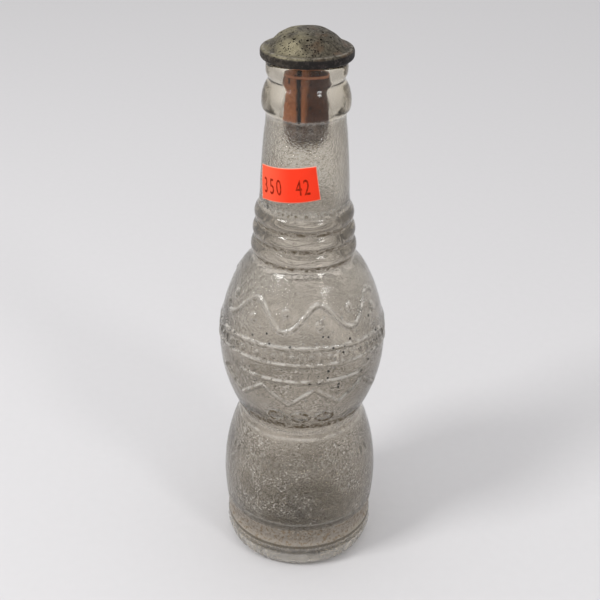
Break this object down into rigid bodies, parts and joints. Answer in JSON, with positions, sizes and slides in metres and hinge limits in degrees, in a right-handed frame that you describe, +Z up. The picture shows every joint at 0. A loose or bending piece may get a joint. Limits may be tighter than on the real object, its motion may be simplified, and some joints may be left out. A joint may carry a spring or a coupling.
{
  "type": "bottle",
  "caption": "Small embossed glass soda bottle with a waist, a ringed neck and a crown-cap lip, closed by a cork stopper with a perforated metal sprinkler rose.",
  "frame": {"origin": "centre of the foot, on the surface that the bottle stands on", "axes": "+Z up along the bottle's axis, -Y towards the side that the picture shows, +X to its right"},
  "size_m": [0.0604, 0.0608, 0.2009],
  "materials": {
    "glass": "clear moulded glass, stippled on neck, belly and bulb, smooth on lip, rings and heel",
    "label": "matt orange-red paper with plain dark digits",
    "cork": "old dark cork",
    "tube_metal": "dull",
    "rose_metal": "tarnished grey-brown plate, mottled and pitted"
  },
  "bodies": {
    "bottle": {"bottle": "glass", "price_label": "label"},
    "cork": {"cork": "cork"},
    "rose": {"sprinkler_rose": "rose_metal", "rose_pan": "rose_metal", "water_tube": "tube_metal", "cork_washer": "tube_metal"}
  },
  "joints": [
    {"name": "stopper_lift", "type": "slide", "parent": "bottle", "child": "cork", "axis": [0, 0, 1], "range_m": [0, 0.045]},
    {"name": "rose_turn", "type": "hinge", "parent": "cork", "child": "rose", "pos_m": [0, 0, 0.1919], "axis": [0, 0, 1], "continuous": true}
  ]
}
